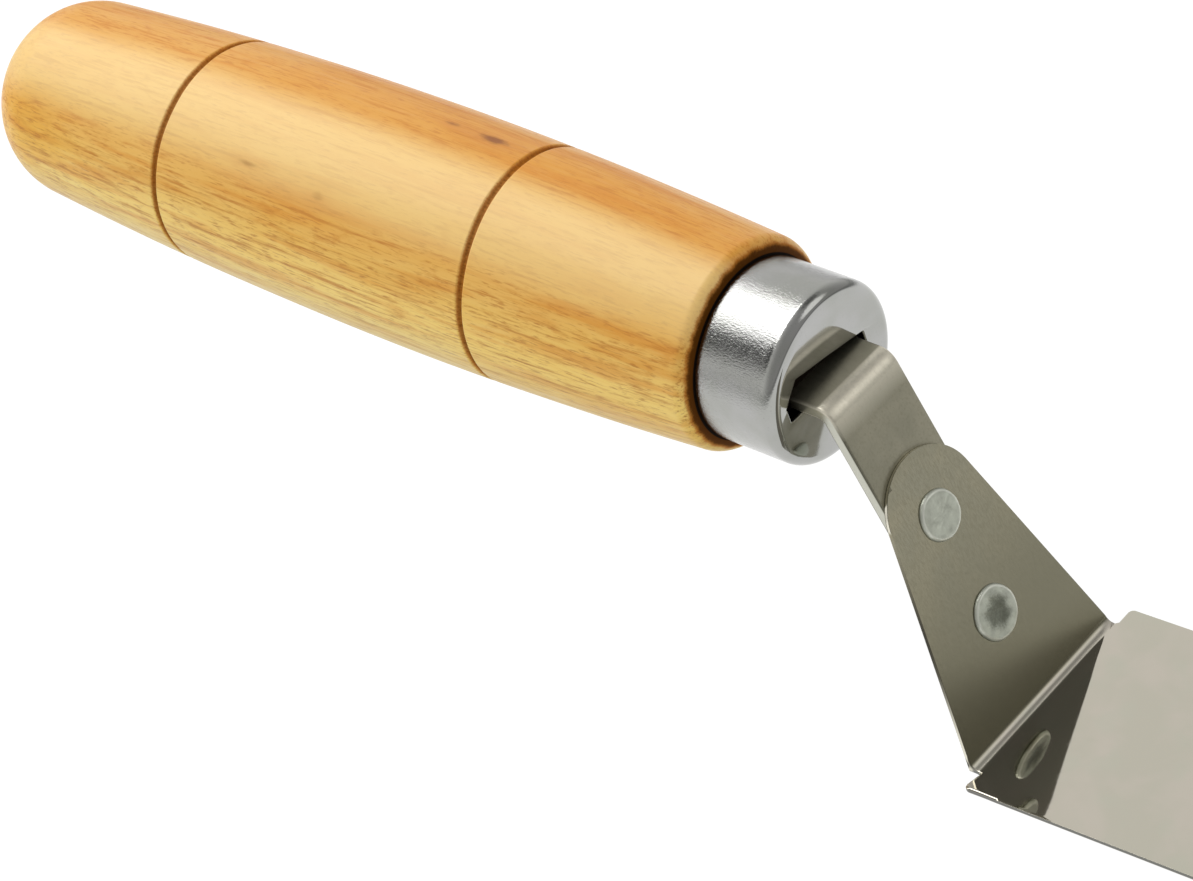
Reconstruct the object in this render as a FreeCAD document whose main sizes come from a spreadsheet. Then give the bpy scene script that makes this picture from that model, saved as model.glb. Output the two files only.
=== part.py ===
"""Margin trowel with a 38 mm by 127 mm blade, riveted tang, drawn ferrule and turned wooden handle.

Frame, in millimetres: the origin is the centre of the blade's flat working face, +X points
from the handle to the blade's tip, +Y across the blade and +Z up, out of the blade's top face.
"""
import FreeCAD, Part
import math
import os

import Sketcher

X, Y, Z = FreeCAD.Vector(1, 0, 0), FreeCAD.Vector(0, 1, 0), FreeCAD.Vector(0, 0, 1)

DRIVING_DIMENSIONS = {
    # blade and tab, one piece of folded sheet
    "blade_length": 127.0,          # heel line to tip
    "blade_width": 38.1,
    "sheet_thickness": 0.6,
    "corner_rounding": 0.6,         # the blade's four corners, in plan
    "tab_angle": 70.4,              # lean of the tab from the blade's plane
    "fold_radius": 1.5,             # inside of the fold
    "fold_relief": 0.35,            # blade's heel edge ahead of the fold, and its inner corner
    "heel_slant": 0.8,              # how far the heel's -Y corner runs back from that edge
    "tab_base_width": 31.6,
    "tab_round_radius": 8.5,        # the tab's round top
    "tab_round_height": 31.5,       # its centre, up the tab from the heel line
    # rivets
    "lower_rivet_height": 14.1,     # up the tab from the heel line
    "upper_rivet_height": 30.4,
    "rivet_hole": 4.1,
    "rivet_shank": 4.0,
    "lower_rivet_head": 7.8,
    "upper_rivet_head": 7.2,
    "rivet_head_height": 0.55,
    "rivet_tail": 6.6,
    "rivet_tail_height": 1.3,
    # tang, one bent strip that narrows to a spike inside the handle
    "tang_width": 14.0,
    "tang_thickness": 2.0,
    "tang_bend_radius": 1.0,        # inside of the bend
    "tang_corner_height": 52.4,     # sharp corner of the bend, up the tab from the heel line
    "tang_foot_height": 6.0,        # lower end of the leg, up the tab from the heel line
    "tang_foot_rounding": 4.0,
    "tang_reach": 4.6,              # ferrule face to the sharp corner of the bend
    "spike_root_width": 9.0,
    "spike_tip_width": 4.0,
    "spike_end": 78.0,              # behind the ferrule face
    # ferrule, a drawn cup with a slot in its end
    "ferrule_diameter": 25.6,
    "ferrule_length": 13.0,
    "ferrule_wall": 0.8,
    "ferrule_edge_radius": 1.8,
    "slot_right": 9.0,              # slot's -Y end, from the handle's axis
    "slot_left": 7.6,               # its +Y end
    "slot_lip_right": 4.0,          # slot's upper lip above the axis, towards the -Y end
    "slot_lip_left": 1.6,           # the same at the +Y end, where the punched lip sits lower
    "slot_corner_width": 2.8,       # the cut corner between the upper lip and the -Y end
    "slot_corner_height": 1.0,      # its lower end, above the axis
    "slot_below": 1.05,             # slot's lower lip below the axis
    # handle
    "handle_pitch": 3.5,            # the handle's axis rises towards the butt
    "handle_end": 153.6,            # butt, behind the ferrule face
    "tenon_gap": 1.6,               # ferrule's end wall to the wood
    "tenon_clearance": 0.05,
    "shoulder_diameter": 30.2,
    "shoulder_rounding": 2.2,
    "belly_diameter": 34.6,
    "belly_place": 76.0,            # behind the ferrule face
    "butt_diameter": 29.6,          # where the barrel meets the domed end
    "butt_dome_radius": 17.0,
    "butt_rounding": 13.5,
    "front_groove": 51.9,           # behind the ferrule face
    "rear_groove": 111.0,
    "groove_width": 1.1,
    "mortise_clearance": 0.05,
}

# Places and lengths that follow from the driving dimensions, as expressions of the sheet.
HEEL = "(-Dim.blade_length / 2)"
FOLD_X = f"({HEEL} + Dim.fold_radius * tan(Dim.tab_angle / 2))"
FOLD_Z = "(Dim.sheet_thickness + Dim.fold_radius)"
OUTER_FOLD = "(Dim.fold_radius + Dim.sheet_thickness)"
TANG_TURN = "(Dim.tab_angle - Dim.handle_pitch)"
OUTER_BEND = "(Dim.tang_bend_radius + Dim.tang_thickness)"
HALF_TANG = "(Dim.tang_thickness / 2)"
TENON_START = "(Dim.ferrule_wall + Dim.tenon_gap)"
FERRULE_R = "(Dim.ferrule_diameter / 2)"
BORE_R = f"({FERRULE_R} - Dim.ferrule_wall)"
SHOULDER_R = "(Dim.shoulder_diameter / 2)"
BELLY_R = "(Dim.belly_diameter / 2)"
BUTT_R = "(Dim.butt_diameter / 2)"

doc = FreeCAD.newDocument("margin_trowel")
sheet = doc.addObject("Spreadsheet::Sheet", "Dim")
for row, (alias, value) in enumerate(DRIVING_DIMENSIONS.items(), start=1):
    sheet.set(f"A{row}", alias)
    sheet.set(f"B{row}", str(value))
    sheet.setAlias(f"B{row}", alias)
doc.recompute()


def number(expression):
    """The present value of an expression of the sheet."""
    return float(sheet.evalExpression(expression))


def new_body(name):
    body = doc.addObject("PartDesign::Body", name)
    body.Label = name
    return body


def new_sketch(body, name, plane, offset=None):
    """A sketch on one of the body's own origin planes."""
    sketch = body.newObject("Sketcher::SketchObject", name)
    support = [item for item in body.Origin.OriginFeatures if item.Role == plane][0]
    sketch.AttachmentSupport = [(support, "")]
    sketch.MapMode = "FlatFace"
    if offset:
        sketch.AttachmentOffset = offset
    return sketch


def tilted_sketch(body, name, x_place, z_place, angle):
    """A sketch on a plane that is the body's XY plane moved, and turned about Y."""
    turn = FreeCAD.Rotation(Y, number(angle))
    place = FreeCAD.Vector(number(x_place), 0, number(z_place))
    sketch = new_sketch(body, name, "XY_Plane", FreeCAD.Placement(place, turn))
    sketch.setExpression(".AttachmentOffset.Base.x", x_place)
    sketch.setExpression(".AttachmentOffset.Base.z", z_place)
    sketch.setExpression(".AttachmentOffset.Rotation.Angle", angle)
    return sketch


def set_size(sketch, kind, where, expression):
    """A dimension of the sketch, bound to an expression of the sheet."""
    index = sketch.addConstraint(Sketcher.Constraint(kind, *where, number(expression)))
    sketch.setExpression(f"Constraints[{index}]", expression)


def pin(sketch, edge, end, x, y):
    """Holds a point of the sketch at x, y, both expressions. "0" puts it on that axis."""
    for kind, expression, axis in (("DistanceX", x, -2), ("DistanceY", y, -1)):
        if expression == "0":
            sketch.addConstraint(Sketcher.Constraint("PointOnObject", edge, end, axis))
        elif number(expression) > 0:
            set_size(sketch, kind, (-1, 1, edge, end), expression)
        else:
            set_size(sketch, kind, (edge, end, -1, 1), f"-({expression})")


def arc_between(start, end, radius, turn):
    """The short arc from start to end, turn 1 counter-clockwise and -1 clockwise."""
    chord = end - start
    rise = math.sqrt(max(radius**2 - (chord.Length / 2) ** 2, 0))
    inward = FreeCAD.Vector(-chord.y, chord.x, 0).normalize() * turn
    centre = (start + end) / 2 + inward * rise
    first, last = (start, end) if turn > 0 else (end, start)
    angles = [math.atan2((p - centre).y, (p - centre).x) for p in (first, last)]
    return Part.ArcOfCircle(Part.Circle(centre, Z, radius), *angles)


def draw_profile(sketch, corners, arcs=None):
    """Draws a closed outline through corners, which are pairs of expressions.

    arcs maps the number of an edge to its radius, an expression, and its turn, as in
    arc_between. Edge n runs from corner n to the next one, and the others are straight.
    """
    arcs = arcs or {}
    points = [FreeCAD.Vector(number(x), number(y), 0) for x, y in corners]
    ends = []
    for index, start in enumerate(points):
        end = points[(index + 1) % len(points)]
        if index in arcs:
            radius, turn = arcs[index]
            edge = sketch.addGeometry(arc_between(start, end, number(radius), turn))
            ends.append((edge, 1, 2) if turn > 0 else (edge, 2, 1))
        else:
            edge = sketch.addGeometry(Part.LineSegment(start, end))
            ends.append((edge, 1, 2))
    for (edge, _, last), (following, first, _) in zip(ends, ends[1:] + ends[:1]):
        sketch.addConstraint(Sketcher.Constraint("Coincident", edge, last, following, first))
    for (edge, first, _), (x, y) in zip(ends, corners):
        pin(sketch, edge, first, x, y)
    for index, (radius, _) in arcs.items():
        set_size(sketch, "Radius", (ends[index][0],), radius)


def draw_circle(sketch, x, y, radius):
    centre = FreeCAD.Vector(number(x), number(y), 0)
    edge = sketch.addGeometry(Part.Circle(centre, Z, number(radius)))
    pin(sketch, edge, 3, x, y)
    set_size(sketch, "Radius", (edge,), radius)


def swept_feature(kind, sketch, name, length, side="One side", backwards=False):
    """A Pad or a Pocket of a sketch, its length an expression of the sheet."""
    body = sketch.getParentGeoFeatureGroup()
    feature = body.newObject(f"PartDesign::{kind}", name)
    feature.Profile = sketch
    feature.SideType = side
    feature.Reversed = backwards
    feature.setExpression("Length", length)
    doc.recompute()
    return feature


def turned_feature(kind, sketch, name, axis):
    """A Revolution or a Groove, a full turn of a sketch about one of its axes."""
    body = sketch.getParentGeoFeatureGroup()
    feature = body.newObject(f"PartDesign::{kind}", name)
    feature.Profile = sketch
    feature.ReferenceAxis = (sketch, [axis])
    feature.Angle = 360
    doc.recompute()
    return feature


def cut_checked(make_cut, body):
    """Makes a Pocket or Groove, and stops if it took nothing away."""
    before = body.Shape.Volume
    feature = make_cut()
    if body.Shape.Volume > before - 1e-3:
        raise RuntimeError(f"{feature.Name} cuts nothing")


def round_edges(body, name, radius, wanted):
    """A Fillet of the edges of the body for which wanted(edge) is true."""
    base = body.Tip
    names = [f"Edge{n}" for n, edge in enumerate(base.Shape.Edges, start=1) if wanted(edge)]
    if not names:
        raise RuntimeError(f"{name} finds no edge")
    feature = body.newObject("PartDesign::Fillet", name)
    feature.Base = (base, names)
    feature.setExpression("Radius", radius)
    doc.recompute()


def is_along(edge, direction):
    ends = [vertex.Point for vertex in edge.Vertexes]
    if len(ends) != 2:
        return False
    return abs((ends[1] - ends[0]).normalize().dot(direction)) > 0.9999


def place_body(body, x_place, z_place, angle):
    """Moves the body in the XZ plane and turns it about Y, bound to the sheet."""
    place = FreeCAD.Vector(number(x_place), 0, number(z_place))
    body.Placement = FreeCAD.Placement(place, FreeCAD.Rotation(Y, number(angle)))
    body.setExpression(".Placement.Base.x", x_place)
    body.setExpression(".Placement.Base.z", z_place)
    body.setExpression(".Placement.Rotation.Angle", angle)


def place_on_handle_axis(body):
    """The handle's own frame: x from the ferrule's face to the butt, z down, out of the palm."""
    x_place = (
        f"{HEEL} - Dim.tang_corner_height * cos(Dim.tab_angle)"
        " - Dim.sheet_thickness * sin(Dim.tab_angle)"
        f" - {HALF_TANG} * sin(Dim.handle_pitch) - Dim.tang_reach * cos(Dim.handle_pitch)"
    )
    z_place = (
        "Dim.sheet_thickness + Dim.tang_corner_height * sin(Dim.tab_angle)"
        " - Dim.sheet_thickness * cos(Dim.tab_angle)"
        f" - {HALF_TANG} * cos(Dim.handle_pitch) + Dim.tang_reach * sin(Dim.handle_pitch)"
    )
    place_body(body, x_place, z_place, "Dim.handle_pitch - 180")


def tab_plane_sketch(body, name):
    """On the tab's front face: x up the tab from the heel line, y across, normal backwards."""
    return tilted_sketch(body, name, HEEL, "Dim.sheet_thickness", "Dim.tab_angle - 180")


def make_blade():
    """The blade with its tab: flat sheet, folded up at the heel, the tab narrowing upwards."""
    body = new_body("blade")
    half_width = "Dim.blade_width / 2"
    heel_edge = f"({FOLD_X} + Dim.fold_relief)"
    plate = new_sketch(body, "plate_outline", "XY_Plane")
    draw_profile(plate, [
        (heel_edge, "-Dim.tab_base_width / 2"),
        (f"{heel_edge} - Dim.heel_slant", f"-{half_width}"),
        ("Dim.blade_length / 2", f"-{half_width}"),
        ("Dim.blade_length / 2", half_width),
        (heel_edge, half_width),
    ])
    swept_feature("Pad", plate, "plate", "Dim.sheet_thickness")

    fold = new_sketch(body, "fold_profile", "XZ_Plane")
    lean = "Dim.tab_angle"
    draw_profile(fold, [
        (heel_edge, "0"),
        (heel_edge, "Dim.sheet_thickness"),
        (FOLD_X, "Dim.sheet_thickness"),
        (f"{FOLD_X} - Dim.fold_radius * sin({lean})", f"{FOLD_Z} - Dim.fold_radius * cos({lean})"),
        (f"{FOLD_X} - {OUTER_FOLD} * sin({lean})", f"{FOLD_Z} - {OUTER_FOLD} * cos({lean})"),
        (FOLD_X, "0"),
    ], arcs={2: ("Dim.fold_radius", -1), 4: (OUTER_FOLD, 1)})
    swept_feature("Pad", fold, "fold", "Dim.tab_base_width", "Symmetric")

    make_tab(body)
    holes = tab_plane_sketch(body, "rivet_hole_places")
    for rivet in ("lower", "upper"):
        draw_circle(holes, f"Dim.{rivet}_rivet_height", "0", "Dim.rivet_hole / 2")
    cut_checked(
        lambda: swept_feature("Pocket", holes, "rivet_holes", "Dim.sheet_thickness * 2",
                              "Symmetric"), body)

    def on_heel_edge(edge, half):
        middle = edge.CenterOfMass
        near_heel = abs(middle.x - number(heel_edge)) < 0.01
        return is_along(edge, Z) and near_heel and abs(abs(middle.y) - half) < 0.01

    def is_blade_corner(edge):
        outside = abs(abs(edge.CenterOfMass.y) - number(half_width)) < 0.01
        return is_along(edge, Z) and outside

    inner = number("Dim.tab_base_width / 2")
    round_edges(body, "relief_corners", "Dim.fold_relief", lambda edge: on_heel_edge(edge, inner))
    round_edges(body, "blade_corners", "Dim.corner_rounding", is_blade_corner)
    return body


def make_tab(body):
    """Two straight sides that run tangent into the round top."""
    outline = tab_plane_sketch(body, "tab_outline")
    base = "Dim.fold_radius * tan(Dim.tab_angle / 2)"
    half_base = number("Dim.tab_base_width / 2")
    start = number(base)
    centre = number("Dim.tab_round_height")
    radius = number("Dim.tab_round_radius")
    reach = math.hypot(centre - start, half_base)
    angle = math.atan2(half_base, start - centre) - math.acos(radius / reach)
    touch_x = centre + radius * math.cos(angle)
    touch_y = radius * math.sin(angle)
    left = FreeCAD.Vector(touch_x, touch_y, 0)
    right = FreeCAD.Vector(touch_x, -touch_y, 0)
    base_left = FreeCAD.Vector(start, half_base, 0)
    base_right = FreeCAD.Vector(start, -half_base, 0)
    circle = Part.Circle(FreeCAD.Vector(centre, 0, 0), Z, radius)
    foot = outline.addGeometry(Part.LineSegment(base_left, base_right))
    right_side = outline.addGeometry(Part.LineSegment(base_right, right))
    top = outline.addGeometry(Part.ArcOfCircle(circle, -angle, angle))
    left_side = outline.addGeometry(Part.LineSegment(left, base_left))
    outline.addConstraint(Sketcher.Constraint("Coincident", foot, 2, right_side, 1))
    outline.addConstraint(Sketcher.Constraint("Coincident", left_side, 2, foot, 1))
    outline.addConstraint(Sketcher.Constraint("Tangent", right_side, 2, top, 1))
    outline.addConstraint(Sketcher.Constraint("Tangent", top, 2, left_side, 1))
    pin(outline, foot, 1, base, "Dim.tab_base_width / 2")
    pin(outline, foot, 2, base, "-Dim.tab_base_width / 2")
    pin(outline, top, 3, "Dim.tab_round_height", "0")
    set_size(outline, "Radius", (top,), "Dim.tab_round_radius")
    swept_feature("Pad", outline, "tab", "Dim.sheet_thickness")


def make_tang():
    """The tang in the handle's frame: a leg down the back of the tab, a bend, and a spike."""
    body = new_body("tang")
    turn = TANG_TURN
    bend_x = f"(-Dim.tang_reach + {OUTER_BEND} * tan({turn} / 2))"
    bend_z = f"({OUTER_BEND} - {HALF_TANG})"
    leg = "(Dim.tang_corner_height - Dim.tang_foot_height)"
    foot_x = f"(-Dim.tang_reach - {leg} * cos({turn}))"
    foot_z = f"({leg} * sin({turn}) - {HALF_TANG})"
    side = new_sketch(body, "side_profile", "XZ_Plane")
    draw_profile(side, [
        (TENON_START, f"-{HALF_TANG}"),
        (bend_x, f"-{HALF_TANG}"),
        (f"{bend_x} - {OUTER_BEND} * sin({turn})", f"{bend_z} - {OUTER_BEND} * cos({turn})"),
        (foot_x, foot_z),
        (f"{foot_x} + Dim.tang_thickness * sin({turn})",
         f"{foot_z} + Dim.tang_thickness * cos({turn})"),
        (f"{bend_x} - Dim.tang_bend_radius * sin({turn})",
         f"{bend_z} - Dim.tang_bend_radius * cos({turn})"),
        (bend_x, HALF_TANG),
        (TENON_START, HALF_TANG),
    ], arcs={1: (OUTER_BEND, -1), 5: ("Dim.tang_bend_radius", 1)})
    swept_feature("Pad", side, "bent_strip", "Dim.tang_width", "Symmetric")

    top = new_sketch(body, "spike_outline", "XY_Plane")
    draw_profile(top, spike_corners("0"))
    swept_feature("Pad", top, "spike", "Dim.tang_thickness", "Symmetric")

    holes = tilted_sketch(body, "rivet_hole_places", "-Dim.tang_reach", f"-{HALF_TANG}", turn)
    for rivet in ("lower", "upper"):
        down_leg = f"Dim.{rivet}_rivet_height - Dim.tang_corner_height"
        draw_circle(holes, down_leg, "0", "Dim.rivet_hole / 2")
    cut_checked(
        lambda: swept_feature("Pocket", holes, "rivet_holes", "Dim.tang_thickness * 2.5",
                              "Symmetric"), body)

    lowest = number(foot_z)
    across = FreeCAD.Vector(number(f"sin({turn})"), 0, number(f"cos({turn})"))

    def is_foot_corner(edge):
        return is_along(edge, across) and edge.CenterOfMass.z > lowest - 0.1

    round_edges(body, "foot_corners", "Dim.tang_foot_rounding", is_foot_corner)
    place_on_handle_axis(body)
    return body


def spike_corners(clearance):
    """The spike seen from above, a taper, with room added at both sides and at its tip."""
    root = f"(Dim.spike_root_width / 2 + {clearance})"
    tip = f"(Dim.spike_tip_width / 2 + {clearance})"
    end = f"(Dim.spike_end + {clearance})"
    return [(TENON_START, f"-{root}"), (end, f"-{tip}"), (end, tip), (TENON_START, root)]


def make_ferrule():
    """A cup drawn from sheet, open towards the handle, with the tang's slot in its end."""
    body = new_body("ferrule")
    edge_centre = f"({FERRULE_R} - Dim.ferrule_edge_radius)"
    profile = new_sketch(body, "cup_profile", "XZ_Plane")
    draw_profile(profile, [
        ("0", "0"),
        ("0", edge_centre),
        ("Dim.ferrule_edge_radius", FERRULE_R),
        ("Dim.ferrule_length", FERRULE_R),
        ("Dim.ferrule_length", BORE_R),
        ("Dim.ferrule_edge_radius", BORE_R),
        ("Dim.ferrule_wall", edge_centre),
        ("Dim.ferrule_wall", "0"),
    ], arcs={
        1: ("Dim.ferrule_edge_radius", -1),
        5: ("Dim.ferrule_edge_radius - Dim.ferrule_wall", 1),
    })
    turned_feature("Revolution", profile, "cup", "H_Axis")

    slot = new_sketch(body, "slot_outline", "YZ_Plane")
    draw_profile(slot, [
        ("-Dim.slot_right", "-Dim.slot_corner_height"),
        ("Dim.slot_corner_width - Dim.slot_right", "-Dim.slot_lip_right"),
        ("Dim.slot_left", "-Dim.slot_lip_left"),
        ("Dim.slot_left", "Dim.slot_below"),
        ("-Dim.slot_right", "Dim.slot_below"),
    ])
    cut_checked(
        lambda: swept_feature("Pocket", slot, "slot", "Dim.ferrule_wall * 1.5",
                              backwards=True), body)
    place_on_handle_axis(body)
    return body


def barrel_arc(end_place, end_radius):
    """Radius of the barrel's arc from the belly, where it is level, to the given end."""
    run = f"({end_place} - Dim.belly_place)"
    drop = f"({BELLY_R} - {end_radius})"
    return f"(({run} ^ 2 + {drop} ^ 2) / (2 * {drop}))"


def make_handle():
    """The turned handle: tenon, rounded shoulder, barrel, domed butt and two grooves."""
    body = new_body("handle")
    tenon_r = f"({BORE_R} - Dim.tenon_clearance)"
    barrel_start = "(Dim.ferrule_length + Dim.shoulder_rounding)"
    dome_centre = "(Dim.handle_end - Dim.butt_dome_radius)"
    barrel_end = f"({dome_centre} + sqrt(Dim.butt_dome_radius ^ 2 - {BUTT_R} ^ 2))"
    front_arc = barrel_arc(barrel_start, SHOULDER_R)
    rear_arc = barrel_arc(barrel_end, BUTT_R)
    profile = new_sketch(body, "handle_profile", "XZ_Plane")
    draw_profile(profile, [
        (TENON_START, "0"),
        (TENON_START, tenon_r),
        ("Dim.ferrule_length", tenon_r),
        ("Dim.ferrule_length", f"{SHOULDER_R} - Dim.shoulder_rounding"),
        (barrel_start, SHOULDER_R),
        ("Dim.belly_place", BELLY_R),
        (barrel_end, BUTT_R),
        ("Dim.handle_end", "0"),
    ], arcs={
        3: ("Dim.shoulder_rounding", -1),
        4: (front_arc, -1),
        5: (rear_arc, -1),
        6: ("Dim.butt_dome_radius", -1),
    })
    turned_feature("Revolution", profile, "turned_form", "H_Axis")

    def is_butt_edge(edge):
        return abs(edge.BoundBox.XMin - number(barrel_end)) < 0.01 and edge.BoundBox.XLength < 0.01

    round_edges(body, "butt_rounding", "Dim.butt_rounding", is_butt_edge)
    for name, arc in (("front_groove", front_arc), ("rear_groove", rear_arc)):
        ring = new_sketch(body, f"{name}_section", "XZ_Plane")
        away = f"(Dim.{name} - Dim.belly_place)"
        surface = f"({BELLY_R} - {arc} + sqrt({arc} ^ 2 - {away} ^ 2))"
        draw_circle(ring, f"Dim.{name}", surface, "Dim.groove_width / 2")
        cut_checked(lambda: turned_feature("Groove", ring, name, "H_Axis"), body)

    mortise = new_sketch(body, "mortise_outline", "XY_Plane")
    draw_profile(mortise, spike_corners("Dim.mortise_clearance"))
    cut_checked(
        lambda: swept_feature("Pocket", mortise, "mortise",
                              "Dim.tang_thickness + 2 * Dim.mortise_clearance", "Symmetric"),
        body)
    place_on_handle_axis(body)
    return body


def make_rivet(name):
    """A rivet along z: a low flat head on the tab's front, a domed tail behind the tang."""
    body = new_body(name)
    height = f"Dim.{name}_height"
    head_r, shank_r, tail_r = f"Dim.{name}_head / 2", "Dim.rivet_shank / 2", "Dim.rivet_tail / 2"
    grip = "(-Dim.sheet_thickness - Dim.tang_thickness)"
    tail_dome = f"((({tail_r}) ^ 2 + Dim.rivet_tail_height ^ 2) / (2 * Dim.rivet_tail_height))"
    profile = new_sketch(body, "rivet_profile", "XZ_Plane")
    draw_profile(profile, [
        ("0", "Dim.rivet_head_height"),
        (f"{head_r} - Dim.rivet_head_height", "Dim.rivet_head_height"),
        (head_r, "0"),
        (shank_r, "0"),
        (shank_r, grip),
        (tail_r, grip),
        ("0", f"{grip} - Dim.rivet_tail_height"),
    ], arcs={1: ("Dim.rivet_head_height", -1), 5: (tail_dome, -1)})
    turned_feature("Revolution", profile, "turned_rivet", "V_Axis")
    place_body(
        body,
        f"{HEEL} - {height} * cos(Dim.tab_angle)",
        f"Dim.sheet_thickness + {height} * sin(Dim.tab_angle)",
        "Dim.tab_angle",
    )
    return body


def check_and_write(bodies):
    """Stops on a failed object or an invalid shape, then writes one STEP file per piece."""
    doc.recompute()
    for item in doc.Objects:
        if "Invalid" in item.State or "Error" in item.State:
            raise RuntimeError(f"{item.Name} failed: {item.State}")
    for body in bodies:
        if body.Shape.isNull() or not body.Shape.isValid() or len(body.Shape.Solids) != 1:
            raise RuntimeError(f"{body.Label} isn't one valid solid")
    os.makedirs("parts", exist_ok=True)
    for body in bodies:
        body.Shape.exportStep(f"parts/{body.Label}.step")
        box = body.Shape.BoundBox
        print(f"{body.Label}: {body.Shape.Volume / 1000:.2f} cm3, "
              f"x {box.XMin:.1f} to {box.XMax:.1f}, z {box.ZMin:.1f} to {box.ZMax:.1f}")


check_and_write([
    make_blade(),
    make_tang(),
    make_ferrule(),
    make_handle(),
    make_rivet("lower_rivet"),
    make_rivet("upper_rivet"),
])
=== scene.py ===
import math

import bmesh
import bpy
from mathutils import Matrix, Vector, noise


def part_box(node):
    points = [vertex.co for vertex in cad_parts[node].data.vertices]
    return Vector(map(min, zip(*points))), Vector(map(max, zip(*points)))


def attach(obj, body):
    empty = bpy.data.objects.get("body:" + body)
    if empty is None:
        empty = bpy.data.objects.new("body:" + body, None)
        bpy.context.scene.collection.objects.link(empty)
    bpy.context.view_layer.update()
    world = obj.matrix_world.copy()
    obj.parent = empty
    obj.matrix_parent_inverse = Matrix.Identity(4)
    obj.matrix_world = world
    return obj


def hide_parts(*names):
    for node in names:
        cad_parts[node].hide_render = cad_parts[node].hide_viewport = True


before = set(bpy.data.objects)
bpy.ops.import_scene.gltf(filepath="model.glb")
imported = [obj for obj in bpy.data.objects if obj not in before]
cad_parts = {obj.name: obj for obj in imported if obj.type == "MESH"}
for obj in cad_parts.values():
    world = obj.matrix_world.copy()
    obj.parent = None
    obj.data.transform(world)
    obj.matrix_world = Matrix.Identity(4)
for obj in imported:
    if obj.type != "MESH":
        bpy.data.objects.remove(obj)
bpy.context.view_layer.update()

MM = 0.001

# Everything below is in millimetres and radians until a mesh is made, in the frame of the CAD:
# +X from the handle to the blade's tip, +Y across the blade, +Z up from its working face.

# Blade and tab, one folded sheet
BLADE_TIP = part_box("blade")[1].x / MM
BLADE_HALF_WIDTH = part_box("blade")[1].y / MM
SHEET = 0.6
TAB_ANGLE = math.radians(70.4)
FOLD_RADIUS = 1.5
FOLD_RUN = FOLD_RADIUS * TAB_ANGLE
HEEL_RELIEF = 0.35
HEEL_SLANT = 0.8
TAB_HALF_BASE = 15.8
TAB_ROUND_RADIUS = 8.5
TAB_ROUND_HEIGHT = 31.5
BLADE_CORNER = 0.6
BLADE_EDGE = 0.12           # rounding of the cut edges
BLADE_WAVE = 0.02           # how far the flat face is out of true
WAVE_FADE = 3.0             # the wave grows from nothing over this distance from the fold
SATIN_START = 0.5           # satin begins this share of the way round the fold
SATIN_FADE = 0.35           # and is full this share of the fold's run later
FOLD_FADE = 0.4             # the fold's rougher skin begins over this distance

# A slight ridge that cuts across the heel's -Y corner
CURL_REACH = 2.5            # from the corner to its crest, along the heel
CURL_WIDTH = 1.0
CURL_RISE = 0.04
CURL_SLOPE = 0.75           # how it runs in plan: across the blade for each 1 along it
CURL_FADE = 1.2             # it dies out over this distance at the fold

# Tang, one bent strip
TANG_WIDTH = 14.0
TANG = 2.0
TANG_BEND_RADIUS = 1.0
TANG_CORNER_HEIGHT = 52.4
TANG_FOOT_HEIGHT = 6.0
TANG_FOOT_ROUNDING = 4.0
TANG_REACH = 4.6            # ferrule's face to the sharp corner of the bend
TANG_EDGE = 0.45
HIGHLIGHT_ON_LEG = 2.5           # how far the bend's painted highlight reaches down the leg
SPIKE_ROOT = 9.0
SPIKE_TIP = 4.0
SPIKE_END = 78.0

# Rivets
RIVET_SHANK = 4.0
RIVET_TAIL = 6.6
RIVET_TAIL_HEIGHT = 1.3
RIVET_HEAD_HEIGHT = 0.55
RIVET_RIM = 0.45            # half the width of the painted highlight round the rim, of the head's height
RIVET_LOBES = 0.035         # how far the head is out of round, of its radius
RIVET_DENTS = 0.07
RIVET_FINE_DENTS = 0.03
RIVETS = {
    # height up the tab, head's width, depth of its hollow, strength of the painted dark reflection
    # in it, seed of its unevenness
    "lower_rivet": {"height": 14.1, "head": 7.8, "dish": 0.22, "painted_reflection": 0.9, "seed": 3.7},
    "upper_rivet": {"height": 30.4, "head": 7.2, "dish": 0.05, "painted_reflection": 0.12, "seed": 9.1},
}

# Ferrule
FERRULE_RADIUS = 12.8
FERRULE_LENGTH = 13.0
FERRULE_WALL = 0.8
FERRULE_EDGE = 1.8
FERRULE_SLOT = [(-9.0, 1.0), (-6.2, 4.0), (7.6, 1.6), (7.6, -1.05), (-9.0, -1.05)]
SLOT_MIDDLE = Vector((-0.7, 0.6))
SLOT_LIP = 0.22             # rounding of the slot's lip
FERRULE_DISH = 0.55         # how far the end wall is pressed in above the slot

# Handle
HANDLE_PITCH = math.radians(3.5)
HANDLE_END = 153.6
TENON_START = 2.4
TENON_RADIUS = 11.95
TENON_CHAMFER = 0.3
SHOULDER_RADIUS = 15.1
SHOULDER_ROUNDING = 2.2
BURNT_RING = 1.9            # how far out the burnt ring beside the ferrule reaches
BELLY_RADIUS = 17.3
BELLY_PLACE = 76.0
BUTT_RADIUS = 14.8
BUTT_DOME = 17.0
BUTT_ROUNDING = 13.5
WOOD_WAVE = 0.05            # how far the barrel is out of round
GROOVES = (
    # behind the ferrule's face, how far it leans towards the ferrule on the side at GROOVE_SIDE
    (51.9, 0.9),
    (111.0, 0.25),
)
GROOVE_SIDE = math.radians(64)
GROOVE_HALF_WIDTH = 0.75
GROOVE_DEPTH = 0.5
GROOVE_LEAN_REACH = 6.0     # the wood beside a groove leans with it, less and less, this far
GROOVE_WANDER = 0.06
GROOVE_BURN = 0.66
TENON_SHADE = 1.5            # painted shade on the wood inside the ferrule: above 1 the wood is nearly black
SHEEN_SIDE = math.radians(27)    # middle of the painted sheen stripe, from the top towards -Y
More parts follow.
